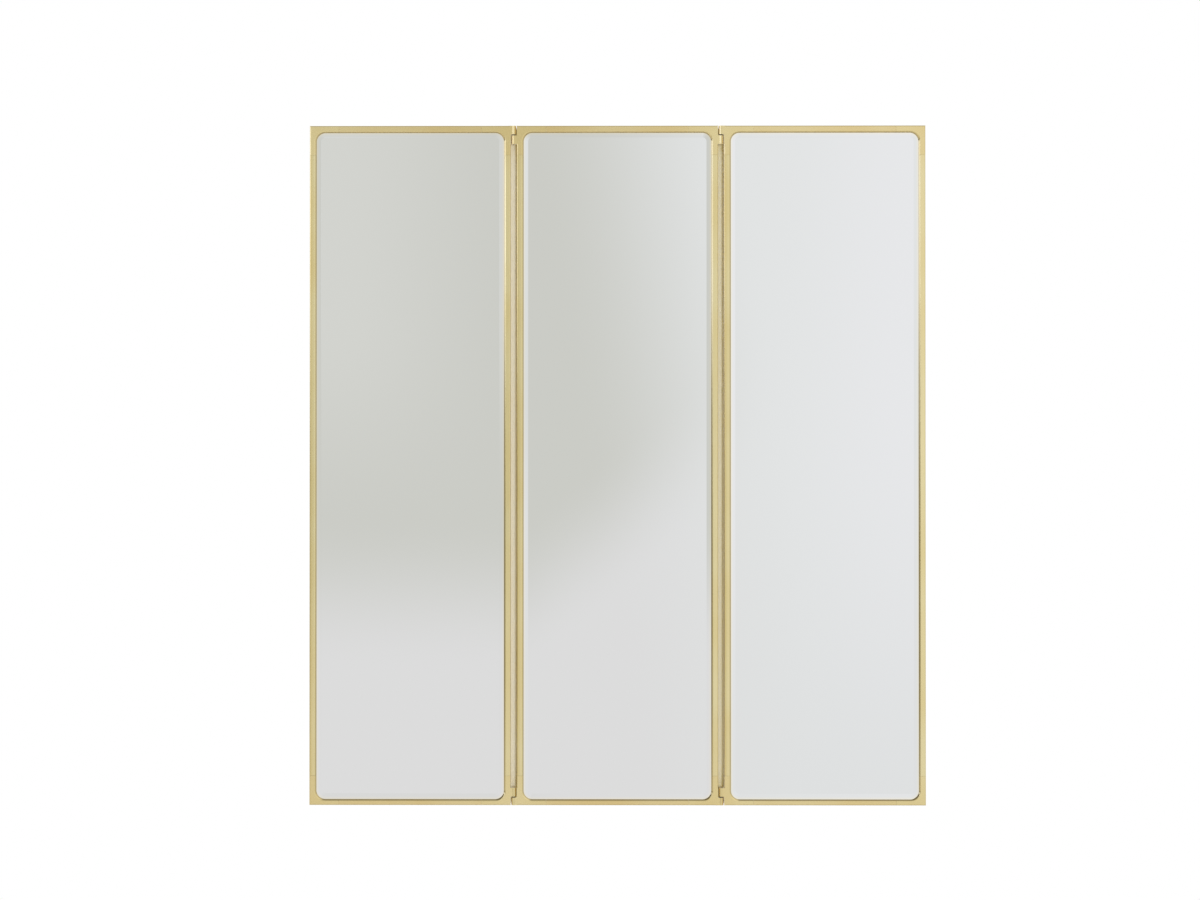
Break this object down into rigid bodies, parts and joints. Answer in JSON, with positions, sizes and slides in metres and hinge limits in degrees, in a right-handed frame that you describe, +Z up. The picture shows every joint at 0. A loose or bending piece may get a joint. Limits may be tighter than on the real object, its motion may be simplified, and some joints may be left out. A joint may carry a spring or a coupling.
{
  "type": "folding wall mirror",
  "caption": "Folding wall mirror in slim pale-brass frames: side wings swing on pin hinges beside a fixed middle panel that hangs on the wall by keyhole plates.",
  "frame": {"origin": "on the wall, midway between the entries of the two keyholes that the middle panel hangs by", "axes": "+Z up, +Y into the wall (the mirrors face -Y), +X to the right of a person who looks at the mirror"},
  "size_m": [0.631, 0.0132, 0.696],
  "materials": {
    "brass": "satin",
    "mirror": "polished",
    "felt": "matte",
    "fibreboard": "matte",
    "rubber": "matte",
    "nylon": "satin",
    "zinc_steel": "satin"
  },
  "bodies": {
    "middle_panel": {"middle_top_rail": "brass", "middle_bottom_rail": "brass", "middle_left_stile": "brass", "middle_right_stile": "brass", "middle_top_left_corner": "brass", "middle_top_right_corner": "brass", "middle_bottom_left_corner": "brass", "middle_bottom_right_corner": "brass", "middle_corner_pins": "brass", "middle_mirror_glass": "mirror", "middle_felt_liner": "felt", "middle_backing_board": "fibreboard", "middle_bumpers": "rubber", "left_top_hinge_pin": "brass", "left_top_hinge_washer": "nylon", "left_bottom_hinge_pin": "brass", "left_bottom_hinge_washer": "nylon", "left_hanger_plate": "zinc_steel", "right_top_hinge_pin": "brass", "right_top_hinge_washer": "nylon", "right_bottom_hinge_pin": "brass", "right_bottom_hinge_washer": "nylon", "right_hanger_plate": "zinc_steel", "hanger_screws": "zinc_steel"},
    "left_wing": {"left_wing_top_rail": "brass", "left_wing_bottom_rail": "brass", "left_wing_left_stile": "brass", "left_wing_right_stile": "brass", "left_wing_top_left_corner": "brass", "left_wing_top_right_corner": "brass", "left_wing_bottom_left_corner": "brass", "left_wing_bottom_right_corner": "brass", "left_wing_corner_pins": "brass", "left_wing_mirror_glass": "mirror", "left_wing_felt_liner": "felt", "left_wing_backing_board": "fibreboard", "left_wing_bumpers": "rubber"},
    "right_wing": {"right_wing_top_rail": "brass", "right_wing_bottom_rail": "brass", "right_wing_left_stile": "brass", "right_wing_right_stile": "brass", "right_wing_top_left_corner": "brass", "right_wing_top_right_corner": "brass", "right_wing_bottom_left_corner": "brass", "right_wing_bottom_right_corner": "brass", "right_wing_corner_pins": "brass", "right_wing_mirror_glass": "mirror", "right_wing_felt_liner": "felt", "right_wing_backing_board": "fibreboard", "right_wing_bumpers": "rubber"}
  },
  "joints": [
    {"name": "left_wing_hinge", "type": "hinge", "parent": "middle_panel", "child": "left_wing", "pos_m": [-0.1062, -0.0108, -0.258], "axis": [0, 0, 1], "range_deg": [0, 100]},
    {"name": "right_wing_hinge", "type": "hinge", "parent": "middle_panel", "child": "right_wing", "pos_m": [0.1062, -0.0108, -0.258], "axis": [0, 0, -1], "range_deg": [0, 100]}
  ]
}
